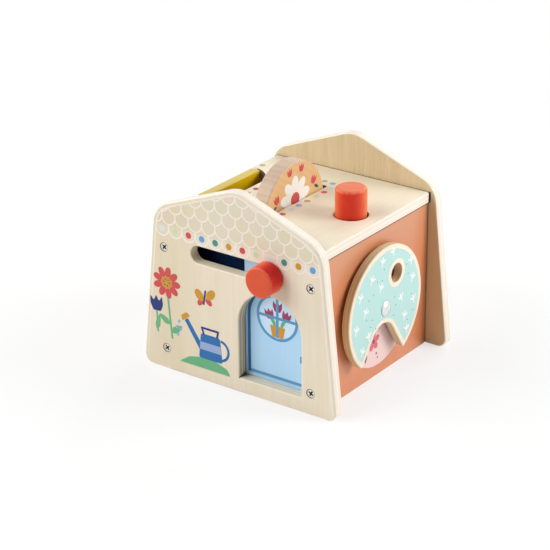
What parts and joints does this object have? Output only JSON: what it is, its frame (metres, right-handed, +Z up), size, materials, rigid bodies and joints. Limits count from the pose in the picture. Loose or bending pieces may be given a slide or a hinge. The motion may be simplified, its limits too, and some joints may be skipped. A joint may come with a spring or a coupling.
{
  "type": "wooden hide-and-seek activity house",
  "caption": "House-shaped wooden activity toy with a sliding door, a turning side disc, a drop-down side flap and a push button that raises a round disc through the roof.",
  "frame": {"origin": "centre of the base panel's underside, at floor level, midway between the two gables", "axes": "+X along the front to its right, +Y from the front gable to the back gable, +Z up"},
  "size_m": [0.1684, 0.1661, 0.1512],
  "materials": {
    "gable_plywood": "clear satin lacquer over pale plywood",
    "roof_plywood": "clear satin lacquer over pale plywood",
    "wall_plywood": "bare pale plywood",
    "terracotta_paint": "satin terracotta paint on plywood",
    "mustard_paint": "satin mustard paint on plywood",
    "door_print": "satin light blue print on plywood",
    "scene_print": "matt navy print on thin board",
    "red_lacquer": "semi-gloss orange-red lacquer on turned wood",
    "solid_wood": "oiled solid wood",
    "disc_print": "satin turquoise print on plywood",
    "inner_wood": "bare wood",
    "screw_steel": "zinc-plated steel",
    "dome_chrome": "polished chrome",
    "pin_steel": "bright drawn steel"
  },
  "bodies": {
    "house": {"front_panel": "gable_plywood", "back_panel": "gable_plywood", "roof_panel": "roof_plywood", "right_wall": "terracotta_paint", "left_wall": "wall_plywood", "base_panel": "wall_plywood", "side_partition": "inner_wood", "flap_stop_front": "inner_wood", "flap_stop_back": "inner_wood", "flap_hinge_pins": "pin_steel", "door_guide_lower": "inner_wood", "door_guide_upper": "inner_wood", "front_scene_board": "scene_print", "mechanism_shelf": "inner_wood", "shelf_cleat_left": "inner_wood", "shelf_cleat_right": "inner_wood", "rocker_bracket": "inner_wood", "rocker_pin": "pin_steel", "disc_spacer": "inner_wood", "disc_pivot_bolt": "dome_chrome", "disc_washer": "pin_steel", "disc_nut": "pin_steel", "front_screws": "screw_steel", "back_screws": "screw_steel"},
    "door": {"sliding_door": "door_print", "door_knob": "red_lacquer", "knob_screw": "screw_steel"},
    "peek": {"peek_disc": "solid_wood", "peek_stem": "inner_wood", "peek_collar": "inner_wood"},
    "button": {"push_button": "red_lacquer", "button_flange": "inner_wood", "button_stem": "inner_wood"},
    "rocker": {"rocker_lever": "inner_wood"},
    "flap": {"side_flap": "mustard_paint"},
    "spinner": {"turning_disc": "disc_print"}
  },
  "joints": [
    {"name": "door_slide", "type": "slide", "parent": "house", "child": "door", "axis": [-1, 0, 0], "range_m": [0, 0.0587]},
    {"name": "disc_spin", "type": "hinge", "parent": "house", "child": "spinner", "pos_m": [0.0718, 0, 0.056], "axis": [1, 0, 0], "continuous": true},
    {"name": "flap_tilt", "type": "hinge", "parent": "house", "child": "flap", "pos_m": [-0.06255, 0, 0.0123], "axis": [0, -1, 0], "range_deg": [0, 90]},
    {"name": "peek_rise", "type": "slide", "parent": "house", "child": "peek", "axis": [0, 0, 1], "range_m": [0, 0.017]},
    {"name": "button_press", "type": "slide", "parent": "house", "child": "button", "axis": [0, 0, -1], "range_m": [0, 0.017]},
    {"name": "rocker_tilt", "type": "hinge", "parent": "house", "child": "rocker", "pos_m": [0.01905, -0.00225, 0.036], "axis": [0, 1, 0], "range_deg": [0, 36.67]}
  ],
  "couplings": [
    {"joint": "button_press", "follows": "peek_rise", "ratio": 1},
    {"joint": "rocker_tilt", "follows": "peek_rise", "rad_per_m": 37.65}
  ]
}
